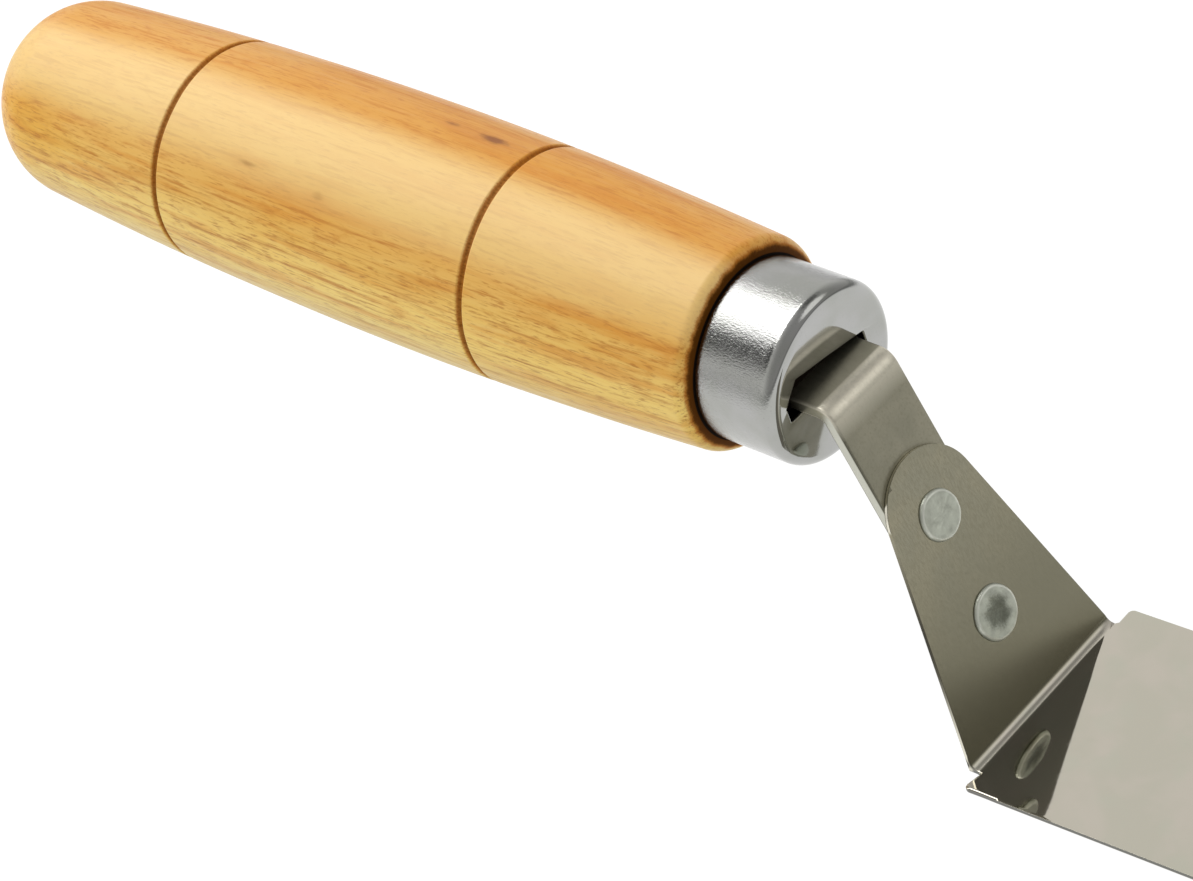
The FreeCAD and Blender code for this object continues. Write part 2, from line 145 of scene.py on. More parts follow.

# Directions and places that follow
HEEL = Vector((-BLADE_TIP, 0, SHEET))
FOLD_CENTRE = HEEL + Vector((FOLD_RADIUS * math.tan(TAB_ANGLE / 2), 0, FOLD_RADIUS))
FOLD_TO_TIP = BLADE_TIP - FOLD_CENTRE.x
ACROSS = Vector((0, 1, 0))
TAB_UP = Vector((-math.cos(TAB_ANGLE), 0, math.sin(TAB_ANGLE)))
TAB_OUT = Vector((math.sin(TAB_ANGLE), 0, math.cos(TAB_ANGLE)))
TO_BUTT = Vector((-math.cos(HANDLE_PITCH), 0, math.sin(HANDLE_PITCH)))
ABOVE = Vector((math.sin(HANDLE_PITCH), 0, math.cos(HANDLE_PITCH)))
FERRULE_FACE = (
    HEEL + TAB_UP * TANG_CORNER_HEIGHT - TAB_OUT * SHEET
    - ABOVE * TANG / 2 + TO_BUTT * TANG_REACH
)
HANDLE_CENTRE_LINE = FERRULE_FACE.dot(ABOVE)
TANG_TURN = TAB_ANGLE - HANDLE_PITCH
TANG_OUTER_BEND = TANG_BEND_RADIUS + TANG
TANG_BEND_SETBACK = TANG_OUTER_BEND * math.tan(TANG_TURN / 2)
TANG_BEND_PLACE = TANG_BEND_SETBACK - TANG_REACH
TANG_BEND_RUN = TANG_OUTER_BEND * TANG_TURN


def on_handle(along, side, above):
    """A point in the handle's frame: along from the ferrule's face, side to +Y, above its axis."""
    return FERRULE_FACE + TO_BUTT * along + ACROSS * side + ABOVE * above


# ---------------------------------------------------------------- materials


class Shader:
    """One procedural material, or the world, and short ways to add its nodes."""

    def __init__(self, block):
        block.use_nodes = True
        self.block = block
        self.tree = block.node_tree

    def node(self, kind, inputs=None, output=0, **settings):
        """Adds a node and returns one of its outputs. inputs are numbers, colours or sockets."""
        item = self.tree.nodes.new(kind)
        for name, value in settings.items():
            setattr(item, name, value)
        self.feed(item, inputs or {})
        return item.outputs[output]

    def feed(self, item, inputs):
        """Sets a node's inputs, or links them where the value is a socket."""
        for name, value in inputs.items():
            if isinstance(value, bpy.types.NodeSocket):
                self.tree.links.new(value, item.inputs[name])
            else:
                item.inputs[name].default_value = value

    def place(self, scale=(1, 1, 1), turn=(0, 0, 0)):
        """The point on the object in millimetres, turned, then stretched by scale."""
        spot = self.node("ShaderNodeTexCoord", output="Object")
        turned = self.node("ShaderNodeMapping", {"Vector": spot, "Rotation": turn})
        stretch = [value / MM for value in scale]
        return self.node("ShaderNodeMapping", {"Vector": turned, "Scale": stretch})

    def noise(self, vector, scale, detail=2.0, roughness=0.5, distortion=0.0):
        """Cloudy noise, mostly between 0.3 and 0.7. scale is in features per millimetre."""
        return self.node("ShaderNodeTexNoise", {
            "Vector": vector, "Scale": scale, "Detail": detail,
            "Roughness": roughness, "Distortion": distortion,
        })

    def attribute(self, name):
        """A number that the mesh carries at each vertex."""
        return self.node("ShaderNodeAttribute", output="Fac", attribute_name=name)

    def ramp(self, factor, low, high, low_value=0.0, high_value=1.0):
        """factor from low to high, smoothly, becomes low_value to high_value."""
        return self.node("ShaderNodeMapRange", {
            "Value": factor, "From Min": low, "From Max": high,
            "To Min": low_value, "To Max": high_value,
        }, interpolation_type="SMOOTHSTEP")

    def math(self, operation, first, second=0.0, third=0.0):
        """Arithmetic on numbers or sockets."""
        item = self.tree.nodes.new("ShaderNodeMath")
        item.operation = operation
        for socket, value in zip(item.inputs, (first, second, third)):
            if isinstance(value, bpy.types.NodeSocket):
                self.tree.links.new(value, socket)
            else:
                socket.default_value = value
        return item.outputs[0]

    def blend(self, factor, first, second):
        """Two numbers mixed by factor."""
        return self.node("ShaderNodeMix", {0: factor, 2: first, 3: second})

    def mix(self, factor, first, second):
        """Two colours mixed by factor."""
        item = self.tree.nodes.new("ShaderNodeMix")
        item.data_type = "RGBA"
        for index, value in ((0, factor), (6, first), (7, second)):
            if isinstance(value, bpy.types.NodeSocket):
                self.tree.links.new(value, item.inputs[index])
            else:
                item.inputs[index].default_value = value
        return item.outputs[2]

    def layered(self, tone, layers):
        """tone with colours laid over it, one after another.

        Each layer is a pattern, the pattern's values where the layer starts and where it is full,
        how strong it is where it is full, and its colour.
        """
        for pattern, start, full, strength, colour in layers:
            tone = self.mix(self.ramp(pattern, start, full, 0.0, strength), tone, colour)
        return tone

    def bump(self, height, distance, strength=1.0):
        """A normal tilted by height, which is up to distance millimetres deep."""
        return self.node("ShaderNodeBump", {
            "Height": height, "Distance": distance * MM, "Strength": strength,
        })

    def surface(self, inputs):
        """Feeds the material's surface and returns the material."""
        self.feed(self.tree.nodes["Principled BSDF"], inputs)
        return self.block


def new_shader(name):
    """The shader of a new material."""
    return Shader(bpy.data.materials.new(name))


def rgb(red, green, blue):
    """A colour given as it looks on a screen, 0 to 255, as linear light."""
    levels = [value / 255 for value in (red, green, blue)]
    return [v / 12.92 if v <= 0.04045 else ((v + 0.055) / 1.055) ** 2.4 for v in levels] + [1.0]


# how dark the painted shade line along the sheets' rounded edges is
RIM_STRENGTH = 0.9
KNOTS = (
    # behind the ferrule's face, degrees from the top towards -Y, length, width, darkness
    (58.6, -14.0, 3.0, 1.0, 0.75),
    (66.6, -15.0, 1.6, 0.6, 0.55),
    (93.0, 43.0, 2.2, 0.5, 0.4),
    (78.5, 46.0, 1.2, 0.7, 0.2),
    (126.0, 200.0, 3.0, 0.9, 0.6),
    (36.0, 150.0, 2.4, 0.7, 0.5),
)


def wood_material():
    """Pale hardwood under golden lacquer, burnt in the grooves and beside the ferrule, with
    painted shade on the top, the underside and inside the ferrule, and a painted sheen stripe.
    """
    shader = new_shader("lacquered_wood_look")
    turn = (0, -HANDLE_PITCH, 0)
    straight = shader.place((1, 1, 1), turn)

    def grain(along, across, detail, roughness, distortion=0.0):
        """Noise with that many features per millimetre along the handle and across it."""
        spot = shader.place((along, across, across), turn)
        return shader.noise(spot, 1.0, detail, roughness, distortion)

    broad = grain(0.018, 0.07, 3.0, 0.6, 0.6)
    streak = grain(0.03, 0.42, 3.0, 0.55, 0.5)
    fleck = grain(0.28, 0.75, 4.0, 0.6, 0.3)
    fibre = grain(0.07, 1.6, 4.0, 0.65, 0.2)
    pores = grain(0.35, 3.2, 3.0, 0.6)

    up = shader.node("ShaderNodeSeparateXYZ", {"Vector": straight}, output="Z")
    above = shader.math("SUBTRACT", up, HANDLE_CENTRE_LINE)
    side = shader.node("ShaderNodeSeparateXYZ", {"Vector": straight}, output="Y")
    # painted sheen mask: 1 along the stripe's middle line, falling to 0 a quarter of the way round
    painted_reflection = shader.math("MULTIPLY", side, -math.sin(SHEEN_SIDE))
    painted_reflection = shader.math("MULTIPLY_ADD", above, math.cos(SHEEN_SIDE), painted_reflection)
    reach = shader.math("MULTIPLY_ADD", side, side, shader.math("MULTIPLY", above, above))
    painted_reflection = shader.math("DIVIDE", painted_reflection, shader.math("SQRT", reach))

    straw = rgb(252, 219, 120)
    honey = rgb(245, 196, 80)
    amber = rgb(226, 156, 50)
    tone = shader.layered(straw, (
        (broad, 0.36, 0.66, 1.0, honey),
        (streak, 0.47, 0.68, 0.66, amber),
        (fleck, 0.52, 0.72, 0.45, rgb(204, 138, 44)),
        (fibre, 0.5, 0.7, 0.75, rgb(184, 114, 28)),
        (fibre, 0.46, 0.3, 0.35, rgb(250, 222, 134)),
        (pores, 0.53, 0.68, 0.62, rgb(174, 106, 32)),
        # painted shade: the top of the handle is painted darker and more orange, its underside
        # darker and greener
        (above, -2, 15, 0.68, rgb(210, 130, 42)),
        (above, 3, -14, 0.75, rgb(184, 158, 66)),
        # painted highlight: a paler stripe where the lamp's sheen falls on the lacquer
        (painted_reflection, 0.86, 0.99, 0.46, rgb(255, 234, 164)),
    ))

    for along, degrees, length, width, darkness in KNOTS:
        angle = math.radians(degrees)
        spot = on_handle(along, -BELLY_RADIUS * math.sin(angle), BELLY_RADIUS * math.cos(angle))
        spot.rotate(Matrix.Rotation(-HANDLE_PITCH, 3, "Y"))
        offset = shader.node("ShaderNodeVectorMath", {0: straight, 1: spot}, operation="SUBTRACT")
        shape = (1 / length, 1 / width, 1 / width)
        scaled = shader.node("ShaderNodeVectorMath", {0: offset, 1: shape}, operation="MULTIPLY")
        distance = shader.node(
            "ShaderNodeVectorMath", {0: scaled}, output="Value", operation="LENGTH")
        frayed = shader.math("ADD", distance, shader.math("MULTIPLY", fleck, 1.6))
        tone = shader.layered(tone, (
            (frayed, 4.2, 1.0, darkness * 0.55, rgb(198, 120, 48)),
            (frayed, 2.0, 1.0, darkness, rgb(122, 60, 14)),
        ))

    burn_and_shade = shader.attribute("burn_and_shade")
    ragged = shader.math("ADD", burn_and_shade, shader.math("MULTIPLY_ADD", pores, 0.5, -0.25))
    tone = shader.layered(tone, (
        (ragged, 0.08, 0.5, 0.8, rgb(176, 102, 30)),
        (ragged, 0.4, 0.98, 1.0, rgb(90, 50, 6)),
        # painted shade: the wood inside the ferrule, where the number is above 1, is painted
        # nearly black
        (burn_and_shade, 1.1, 1.4, 1.0, rgb(26, 18, 12)),
    ))

    relief = shader.math("MULTIPLY_ADD", fibre, 0.6, shader.math("MULTIPLY", pores, 0.4))
    rough = shader.ramp(fibre, 0.3, 0.7, 0.34, 0.5)
    return shader.surface({
        "Base Color": tone,
        "Roughness": shader.math("ADD", rough, shader.math("MULTIPLY", burn_and_shade, 0.2)),
        "Normal": shader.bump(relief, 0.06, 0.5),
        "Specular IOR Level": shader.ramp(burn_and_shade, 0.0, 0.7, 0.2, 0.04),
        "Coat Weight": shader.ramp(burn_and_shade, 0.0, 0.7, 0.25, 0.0),
        "Coat Roughness": 0.24,
        "Coat Normal": shader.bump(shader.noise(straight, 0.25, 2.0), 0.12, 0.35),
    })


def blade_material():
    """Stainless sheet: near mirror on the blade, satin on the tab and painted darker towards the
    fold, with painted shade and highlights on the edges.
    """
    shader = new_shader("blade_steel_look")
    spot = shader.place()
    cloud = shader.noise(spot, 0.07, 3.0, 0.6, 0.4)
    blotch = shader.noise(spot, 0.18, 2.0, 0.5)
    rolling = shader.noise(shader.place((0.08, 1.6, 0.08)), 1.0, 3.0, 0.6)
    grain = shader.noise(shader.place((1.2, 4.0, 1.2)), 1.0, 3.0, 0.7)
    scuff = shader.noise(shader.place((3.0, 0.12, 3.0)), 1.0, 3.0, 0.7)
    height = shader.node("ShaderNodeSeparateXYZ", {"Vector": spot}, output="Z")
    satin = shader.attribute("satin")

    bright = shader.layered(rgb(204, 200, 185), (
        (cloud, 0.4, 0.65, 1.0, rgb(210, 203, 190)),
        (blotch, 0.5, 0.7, 0.4, rgb(202, 202, 186)),
    ))
    dull = shader.layered(rgb(166, 160, 137), (
        (cloud, 0.38, 0.66, 1.0, rgb(156, 153, 134)),
        (grain, 0.35, 0.75, 0.35, rgb(128, 122, 98)),
        # painted shade: the tab is painted darker towards the fold, and darker and browner close
        # to it
        (height, 42.0, 9.0, 0.92, rgb(120, 117, 99)),
        (height, 9.0, 1.0, 0.2, rgb(72, 67, 46)),
    ))
    tone = shader.mix(satin, bright, dull)
    # painted shade: a dark line along the sheet's rounded edges
    rim = shader.math("MULTIPLY", shader.attribute("rim"), RIM_STRENGTH)
    tone = shader.mix(rim, tone, rgb(44, 42, 34))
    # painted light on the cut sides: painted shade makes the blade's sides grey, a painted
    # highlight makes the tab's sides pale
    cut = shader.mix(satin, rgb(112, 112, 108), rgb(226, 222, 206))
    tone = shader.mix(shader.attribute("side"), tone, cut)

    rough_bright = shader.ramp(scuff, 0.5, 0.9, 0.03, 0.08)
    rough_bright = shader.math("MULTIPLY_ADD", shader.attribute("fold"), 0.3, rough_bright)
    rough_dull = shader.ramp(grain, 0.3, 0.7, 0.2, 0.26)
    return shader.surface({
        "Base Color": tone, "Metallic": 1.0,
        "Roughness": shader.blend(satin, rough_bright, rough_dull),
        "Normal": shader.bump(shader.math("MULTIPLY_ADD", grain, 0.3, rolling), 0.01, 0.12),
    })


def tang_material():
    """Satin, slightly cloudy strip, with a painted highlight over its bend and along the neck's
    edges, painted shade on its rounded edges and painted light on its cut sides.
    """
    shader = new_shader("tang_steel_look")
    spot = shader.place()
    cloud = shader.noise(spot, 0.12, 4.0, 0.6, 0.3)
    grain = shader.noise(spot, 2.6, 3.0, 0.6)
    brush = shader.noise(shader.place((0.3, 2.5, 0.3)), 1.0, 3.0, 0.6)
    tone = shader.layered(rgb(162, 158, 139), (
        (cloud, 0.35, 0.65, 1.0, rgb(152, 149, 131)),
        (grain, 0.45, 0.75, 0.4, rgb(134, 130, 110)),
    ))
    # painted shade: a dark line along the strip's rounded edges
    rim = shader.math("MULTIPLY", shader.attribute("rim"), RIM_STRENGTH)
    tone = shader.mix(rim, tone, rgb(36, 38, 28))
    # painted highlight on the strip's cut sides
    tone = shader.mix(shader.attribute("side"), tone, rgb(196, 196, 184))
    # painted highlight over the bend and along the neck's edges, broken up by the grain
    highlight_grain = shader.ramp(grain, 0.2, 0.6, 0.75, 0.95)
    painted_highlight = shader.math("MULTIPLY", shader.attribute("painted_highlight"), highlight_grain)
    tone = shader.mix(painted_highlight, tone, rgb(232, 226, 208))
    return shader.surface({
        "Base Color": tone, "Metallic": 1.0,
        "Roughness": shader.ramp(brush, 0.3, 0.7, 0.38, 0.46),
        "Normal": shader.bump(brush, 0.02, 0.2),
    })


def ferrule_material():
    """Bright plating: an even mirror on the end, fine drawn texture round the wall."""
    shader = new_shader("plated_steel_look")
    spot = shader.place()
    along_wall = shader.place((2.4, 4.6, 4.6), (0, -HANDLE_PITCH, 0))
    skin = shader.noise(along_wall, 1.0, 3.0, 0.6, 0.2)
    pit = shader.noise(spot, 4.5, 2.0, 0.6)
    cloud = shader.noise(spot, 0.15, 2.0)
    wall = shader.attribute("wall")
    tone = shader.layered(rgb(174, 174, 172), (
        (cloud, 0.35, 0.7, 1.0, rgb(166, 167, 162)),
        (pit, 0.62, 0.75, 0.35, rgb(130, 130, 126)),
    ))
    return shader.surface({
        "Base Color": tone, "Metallic": 1.0,
        "Roughness": shader.ramp(wall, 0.0, 1.0, 0.06, 0.09),
        "Normal": shader.bump(shader.math("MULTIPLY", skin, wall), 0.05, 1.0),
    })


def rivet_material():
    """Dull pressed metal, with a painted dark reflection in the face's hollow middle and a painted
    highlight round its rim.
    """
    shader = new_shader("rivet_steel_look")
    spot = shader.place()
    mottle = shader.noise(spot, 0.55, 3.0, 0.5, 0.4)
    fine = shader.noise(spot, 4.0, 3.0, 0.6)
    # painted dark reflection in the face's hollow middle, mottled by noise
    painted_reflection = shader.math("MULTIPLY_ADD", mottle, 0.8, shader.attribute("painted_reflection"))
    painted_reflection = shader.math("MULTIPLY_ADD", fine, 0.5, painted_reflection)
    tone = shader.layered(rgb(190, 194, 180), (
        (mottle, 0.35, 0.7, 1.0, rgb(174, 177, 164)),
        (painted_reflection, 0.75, 1.7, 1.0, rgb(108, 111, 98)),
    ))
    # painted highlight round the head's rounded rim
    tone = shader.mix(shader.attribute("rim"), tone, rgb(226, 228, 216))
    return shader.surface({
        "Base Color": tone, "Metallic": 0.7,
        "Roughness": shader.ramp(fine, 0.3, 0.7, 0.34, 0.52),
        "Normal": shader.bump(shader.math("MULTIPLY_ADD", fine, 0.3, mottle), 0.08, 0.5),
    })


# ---------------------------------------------------------------- meshes


def finish_piece(name, mesh, material, node, values=None):
    """Turns a bmesh in millimetres into the piece that stands for a CAD node.

    values maps the name of an attribute to its number at each vertex, in the order made.
    """
    bmesh.ops.recalc_face_normals(mesh, faces=mesh.faces)
    bmesh.ops.scale(mesh, vec=(MM, MM, MM), verts=mesh.verts)
    data = bpy.data.meshes.new(name)
    mesh.to_mesh(data)
    mesh.free()
    for key, numbers in (values or {}).items():
        layer = data.attributes.new(key, "FLOAT", "POINT")
        layer.data.foreach_set("value", numbers)
    data.shade_smooth()
    data.materials.append(material)
    piece = bpy.data.objects.new(name, data)
    bpy.context.scene.collection.objects.link(piece)
    weigh = piece.modifiers.new("even_normals", "WEIGHTED_NORMAL")
    weigh.keep_sharp = True
    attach(piece, "root")
    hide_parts(node)
    return piece


def bridge(mesh, first, second):
    """Quads between two closed loops, or triangles where one of them is a single point."""
    for index in range(max(len(first), len(second))):
        ways = ((first, 0), (first, 1), (second, 1), (second, 0))
        corners = [loop[(index + step) % len(loop)] for loop, step in ways]
        mesh.faces.new(dict.fromkeys(corners))


def arc_points(centre, radius, start, end, count):
    """count points along an arc, without its first one."""
    turns = [start + (end - start) * step / count for step in range(1, count + 1)]
    return [(centre[0] + radius * math.cos(t), centre[1] + radius * math.sin(t)) for t in turns]


def rounded(corners, radii, steps=6):
    """A closed outline through corners, each cut by a tangent arc of its own radius."""
    outline = []
    for index, (corner, radius) in enumerate(zip(corners, radii)):
        here = Vector(corner)
        before = (Vector(corners[index - 1]) - here).normalized()
        after = (Vector(corners[(index + 1) % len(corners)]) - here).normalized()
        if radius == 0:
            outline.append(here)
            continue
        half = before.angle(after) / 2
        centre = here + (before + after).normalized() * radius / math.sin(half)
        run = radius / math.tan(half)
        start, end = here + before * run - centre, here + after * run - centre
        sweep = start.angle_signed(end)
        for step in range(steps + 1):
            turned = start.copy()
            turned.rotate(Matrix.Rotation(-sweep * step / steps, 2))
            outline.append(centre + turned)
    return outline


def sheet_mesh(outline, thickness, edge, cuts, place):
    """A flat sheet of that outline, its edges softened, cut into strips and then bent.

    outline is a list of (u, v). cuts are pairs of an axis, 0 for u or 1 for v, and a place.
    place(u, v, depth) gives the point in the object, depth being below the sheet's top face.
    """
    mesh = bmesh.new()
    top = [mesh.verts.new((u, v, 0)) for u, v in outline]
    bottom = [mesh.verts.new((u, v, -thickness)) for u, v in outline]
    rims = [mesh.faces.new(top), mesh.faces.new(bottom[::-1])]
    bridge(mesh, top, bottom)
    sharp = list(dict.fromkeys(item for face in rims for item in face.edges))
    bmesh.ops.bevel(mesh, geom=sharp, offset=edge, segments=3, profile=0.5, affect="EDGES")
    for axis, spot in cuts:
        point = Vector((spot, 0, 0)) if axis == 0 else Vector((0, spot, 0))
        normal = Vector((1, 0, 0)) if axis == 0 else Vector((0, 1, 0))
        everything = mesh.verts[:] + mesh.edges[:] + mesh.faces[:]
        bmesh.ops.bisect_plane(
            mesh, geom=everything, dist=0.0001, plane_co=point, plane_no=normal)
    flat = [vert.co.copy() for vert in mesh.verts]
    for vert, (u, v, height) in zip(mesh.verts, flat):
        vert.co = place(u, v, -height)
    return mesh, flat


def spread(start, end, step):
    """Places from start to end, both left out, about step apart."""
    count = max(1, round(abs(end - start) / step))
    return [start + (end - start) * index / count for index in range(1, count)]


def smooth(value):
    """0 below 0, 1 above 1 and an even ease between them."""
    value = min(1.0, max(0.0, value))
    return value * value * (3 - 2 * value)


def place_on_blade(u, v, depth):
    """u runs along the top face from the fold's start to the tip, and below 0 up the tab."""
    beside = max(0.0, abs(v) - TAB_HALF_BASE)
    radius = FOLD_RADIUS + depth
    if u >= 0 or beside > 0:
        from_fold = math.hypot(max(0.0, u), beside)
        from_corner = CURL_SLOPE * (u - HEEL_RELIEF + HEEL_SLANT) + v + BLADE_HALF_WIDTH
        rise = CURL_RISE * math.exp(-((from_corner - CURL_REACH) / CURL_WIDTH) ** 2)
        rise *= smooth(from_fold / CURL_FADE)
        wave = BLADE_WAVE * noise.noise(Vector((u * 0.04, v * 0.06, 2.0)))
        wave *= smooth(from_fold / WAVE_FADE)
        return FOLD_CENTRE + Vector((u, v, rise + wave - radius))
    turn = min(-u / FOLD_RADIUS, TAB_ANGLE)
    up_tab = max(0, -u - FOLD_RUN)
    round_fold = Vector((-math.sin(turn), 0, -math.cos(turn))) * radius
    return FOLD_CENTRE + round_fold + ACROSS * v + TAB_UP * up_tab


def blade_outline():
    """The sheet's outline before folding, its corners rounded."""
    tip = FOLD_TO_TIP
    half = BLADE_HALF_WIDTH
    top = Vector((FOLD_RADIUS * math.tan(TAB_ANGLE / 2) - TAB_ROUND_HEIGHT - FOLD_RUN, 0))
    base = Vector((-FOLD_RUN, TAB_HALF_BASE)) - top
    touch = math.atan2(base.y, base.x) + math.acos(TAB_ROUND_RADIUS / base.length)
    round_top = arc_points(top, TAB_ROUND_RADIUS, touch, 2 * math.pi - touch, 48)
    first_touch = arc_points(top, TAB_ROUND_RADIUS, 0, touch, 1)
    corners = [
        (tip, half), (HEEL_RELIEF, half), (HEEL_RELIEF, TAB_HALF_BASE),
        (-FOLD_RUN, TAB_HALF_BASE), *first_touch, *round_top, (-FOLD_RUN, -TAB_HALF_BASE),
        (HEEL_RELIEF, -TAB_HALF_BASE), (HEEL_RELIEF - HEEL_SLANT, -half), (tip, -half),
    ]
    left = [BLADE_CORNER, BLADE_CORNER, HEEL_RELIEF, 0]
    right = left[::-1]
    tab = [0] * (len(corners) - len(left) - len(right))
    return rounded(corners, left + tab + right)


def edge_values(flat, thickness, edge):
    """For each point of a flat sheet: how much it lies on a rounded edge, and on a cut side."""
    rim, side = [], []
    for point in flat:
        inward = min(-point.z, thickness + point.z) / edge
        rim.append(smooth(1 - abs(inward - 0.45) / 0.55))
        side.append(smooth((inward - 0.6) / 0.4))
    return rim, side


def make_blade(material):
    """The blade and its tab, with closer cuts in the fold, at the heel and on the -Y side."""
    half = BLADE_HALF_WIDTH
    fine, fine_reach = 0.5, 6
    coarse = fine_reach - fine
    fold_cuts = [-FOLD_RUN, *spread(-FOLD_RUN, 0, FOLD_RUN / 16), 0]
    length_cuts = fold_cuts + spread(0, fine_reach, fine) + spread(coarse, FOLD_TO_TIP, 4)
    length_cuts += spread(-FOLD_RUN - TAB_ROUND_HEIGHT - TAB_ROUND_RADIUS, -FOLD_RUN, 3)
    width_cuts = spread(-half, -half + fine_reach, fine) + spread(-half + coarse, half, 3)
    cuts = [(0, spot) for spot in length_cuts] + [(1, spot) for spot in width_cuts]
    mesh, flat = sheet_mesh(blade_outline(), SHEET, BLADE_EDGE, cuts, place_on_blade)
    rim, side = edge_values(flat, SHEET, BLADE_EDGE)
    round_fold = [-point.x / FOLD_RUN for point in flat]
    satin = [smooth((share - SATIN_START) / SATIN_FADE) for share in round_fold]
    fold = [smooth(-point.x / FOLD_FADE) for point in flat]
    values = {"satin": satin, "fold": fold, "rim": rim, "side": side}
    return finish_piece("blade_sheet", mesh, material, "blade", values)


def place_on_tang(u, v, depth):
    """u runs along the outer face from the bend to the spike's tip, and below 0 down the leg."""
    radius = TANG_OUTER_BEND - depth
    turn = min(max(0.0, -u / TANG_OUTER_BEND), TANG_TURN)
    down_leg = max(0.0, -u - TANG_BEND_RUN)
    along = TANG_BEND_PLACE + max(0.0, u) - radius * math.sin(turn) - down_leg * math.cos(turn)
    above = TANG / 2 - TANG_OUTER_BEND + radius * math.cos(turn) - down_leg * math.sin(turn)
    return on_handle(along, v, above)


def make_tang(material):
    """The strip from its rounded foot, through the bend and the neck, to the spike's tip."""
    tenon = TENON_START - TANG_BEND_PLACE
    spike = SPIKE_END - TANG_BEND_PLACE
    leg = TANG_CORNER_HEIGHT - TANG_FOOT_HEIGHT - TANG_BEND_SETBACK
    foot = -TANG_BEND_RUN - leg
    half = TANG_WIDTH / 2
    root = SPIKE_ROOT / 2
    tip = SPIKE_TIP / 2
    corners = [
        (spike, tip), (tenon, root), (tenon, half), (foot, half),
        (foot, -half), (tenon, -half), (tenon, -root), (spike, -tip),
    ]
    radii = [0, 0, 0, TANG_FOOT_ROUNDING, TANG_FOOT_ROUNDING, 0, 0, 0]
    bend_cuts = [-TANG_BEND_RUN, *spread(-TANG_BEND_RUN, 0, TANG_BEND_RUN / 20), 0]
    length_cuts = bend_cuts + spread(foot, -TANG_BEND_RUN, 3) + spread(0, spike, 4)
    cuts = [(0, spot) for spot in length_cuts] + [(1, spot) for spot in spread(-half, half, 2)]
    outline = rounded(corners, radii, steps=10)
    mesh, flat = sheet_mesh(outline, TANG, TANG_EDGE, cuts, place_on_tang)
    rim, side = edge_values(flat, TANG, TANG_EDGE)
    # painted highlight: a band over the bend and a line along the neck's edges, where the painted
    # edge shade and side light give way
    painted_highlight = []
    for index, (u, _, _) in enumerate(flat):
        above_leg = smooth((u + TANG_BEND_RUN + HIGHLIGHT_ON_LEG) / (HIGHLIGHT_ON_LEG + 2))
        on_bend = smooth((0.2 - u) / 0.6) * above_leg
        on_neck = smooth((u + 3) / 2)
        painted_highlight.append(max(on_bend * (1 - side[index]), on_neck * rim[index]))
        rim[index] *= 1 - on_neck
        side[index] *= 1 - on_neck
    values = {"rim": rim, "side": side, "painted_highlight": painted_highlight}
    return finish_piece("tang_strip", mesh, material, "tang", values)


def turned_mesh(rings):
    """A closed surface through rings of points. A ring of one point closes an end."""
    mesh = bmesh.new()
    loops = [[mesh.verts.new(point) for point in ring] for ring in rings]
    for first, second in zip(loops, loops[1:]):
        bridge(mesh, first, second)
    return mesh, loops


def around(count):
    """count equal turns of a full circle, from 0."""
    return [2 * math.pi * step / count for step in range(count)]


def rivet_profile(rivet):
    """(radius, out) from the middle of the head's face to the middle of the tail."""
    flat = rivet["head"] / 2 - RIVET_HEAD_HEIGHT
    grip = -SHEET - TANG
    profile = [(flat * step / 12, RIVET_HEAD_HEIGHT) for step in range(13)]
    profile += arc_points((flat, 0), RIVET_HEAD_HEIGHT, math.pi / 2, 0, 8)
    profile += [(RIVET_SHANK / 2, 0), (RIVET_SHANK / 2, grip), (RIVET_TAIL / 2, grip)]
    for step in range(1, 9):
        turn = step * math.pi / 16
        out = grip - RIVET_TAIL_HEIGHT * math.sin(turn)
        profile.append((RIVET_TAIL / 2 * math.cos(turn), out))
    return profile


def make_rivet(name, material):
    """A pressed head with an uneven face, a shank through tab and tang, and a domed tail."""
    rivet = RIVETS[name]
    seed = rivet["seed"]
    flat = rivet["head"] / 2 - RIVET_HEAD_HEIGHT
    half_rim = RIVET_RIM * RIVET_HEAD_HEIGHT
    middle = HEEL + TAB_UP * rivet["height"]
    rings, painted_reflection, rim = [], [], []
    for radius, out in rivet_profile(rivet):
        on_top = smooth(out / RIVET_HEAD_HEIGHT)
        # where the painted highlight lies on the head's rim
        on_rim = smooth(1 - abs(radius - flat - half_rim) / half_rim) if out > 0 else 0
        dish = rivet["dish"] * smooth(1 - radius / (flat * 0.85))
        ring = []
        for angle in around(96) if radius > 0.01 else [0.0]:
            spot = Vector((math.cos(angle), math.sin(angle), 0))
            ragged = 0.16 * noise.noise(spot * radius * 0.8 + Vector((seed, 1, 5)))
            # how strongly the painted dark reflection covers the face's middle
            painted_reflection.append(rivet["painted_reflection"] * smooth(1.3 - radius / flat * 1.15 + ragged))
            rim.append(on_rim)
            dents = RIVET_DENTS * noise.noise(spot * radius * 0.9 + Vector((0, seed, 0)))
            dents += RIVET_FINE_DENTS * noise.noise(spot * radius * 2.4 + Vector((0, 0, seed)))
            reach = radius
            if radius > RIVET_SHANK / 2 + 0.1:
                reach *= 1 + RIVET_LOBES * noise.noise(spot * 1.1 + Vector((seed, 0, 0)))
            sideways = TAB_UP * math.cos(angle) + ACROSS * math.sin(angle)
            outward = TAB_OUT * (out + (dents - dish) * on_top)
            ring.append(middle + sideways * reach + outward)
        rings.append(ring)
    mesh, _ = turned_mesh(rings)
    return finish_piece(name + "_pressed", mesh, material, name, {"painted_reflection": painted_reflection, "rim": rim})


